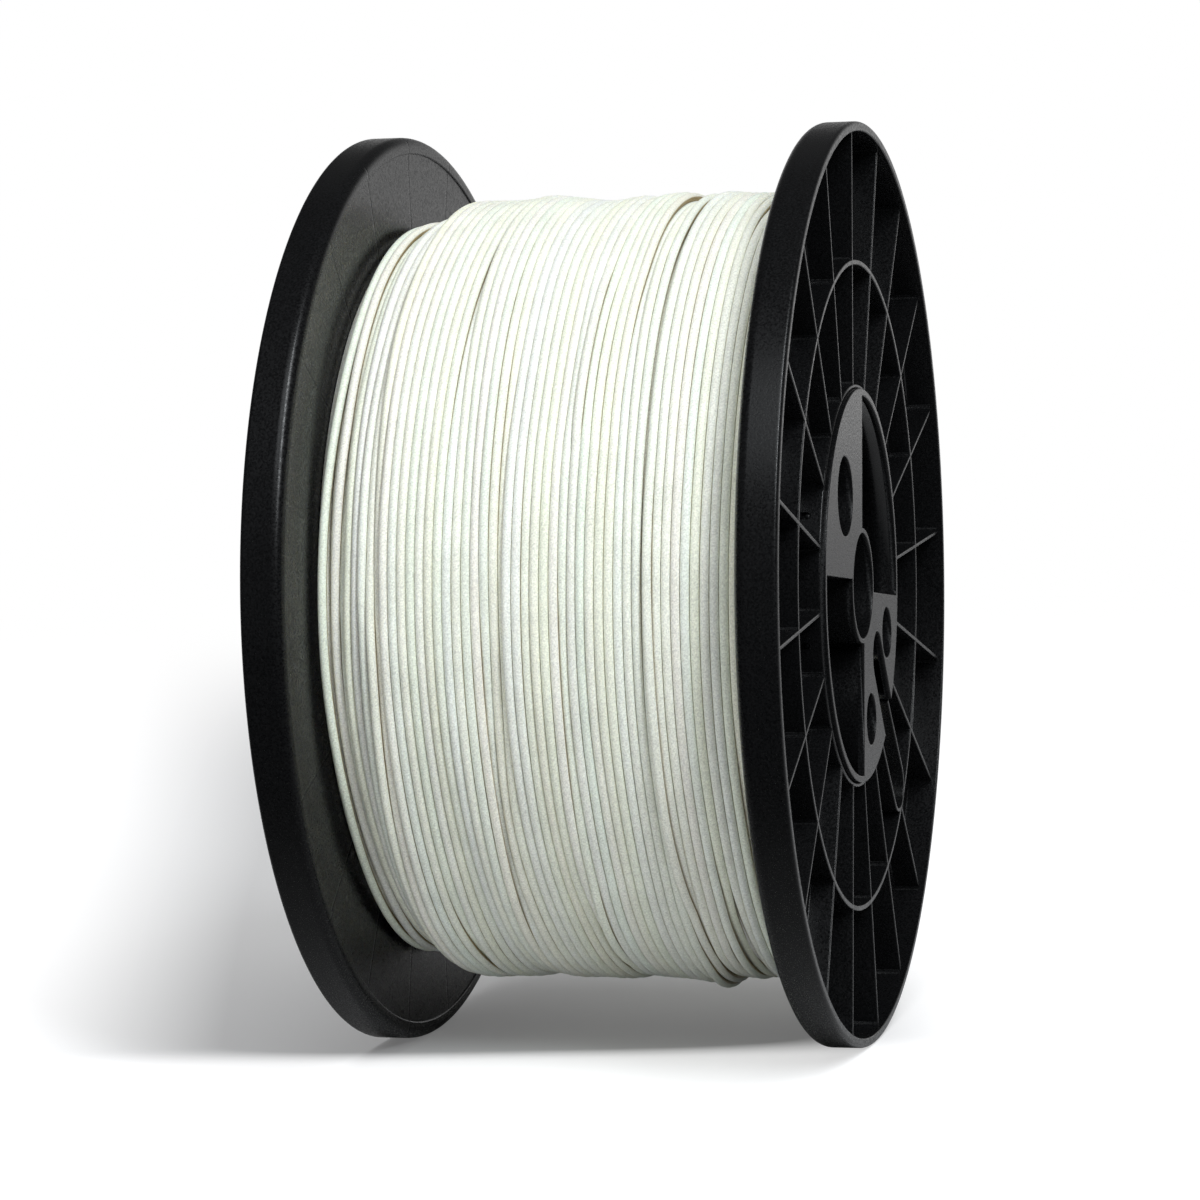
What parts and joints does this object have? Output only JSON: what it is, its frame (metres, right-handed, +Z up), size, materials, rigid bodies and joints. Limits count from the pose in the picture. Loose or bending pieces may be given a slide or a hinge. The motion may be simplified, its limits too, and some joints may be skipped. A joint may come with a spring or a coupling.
{
  "type": "filament spool",
  "caption": "Large ribbed two-flange reel of black moulded plastic with an open hub and central bore, wound with off-white filament.",
  "frame": {"origin": "centre of the bore, halfway between the two flanges", "axes": "+Y along the bore axis, away from the end that shows in the picture; +Z up as the reel stands on its rims; +X to the right as seen from the front end"},
  "size_m": [0.3, 0.1634, 0.3],
  "materials": {
    "reel_plastic": "fine satin mould texture, brighter on edges",
    "filament": "smooth satin, slightly translucent"
  },
  "bodies": {
    "root": {"front_flange": "reel_plastic", "back_flange": "reel_plastic", "front_hub": "reel_plastic", "back_hub": "reel_plastic", "filament_pack": "filament", "filament_outer_turns": "filament"}
  },
  "joints": []
}
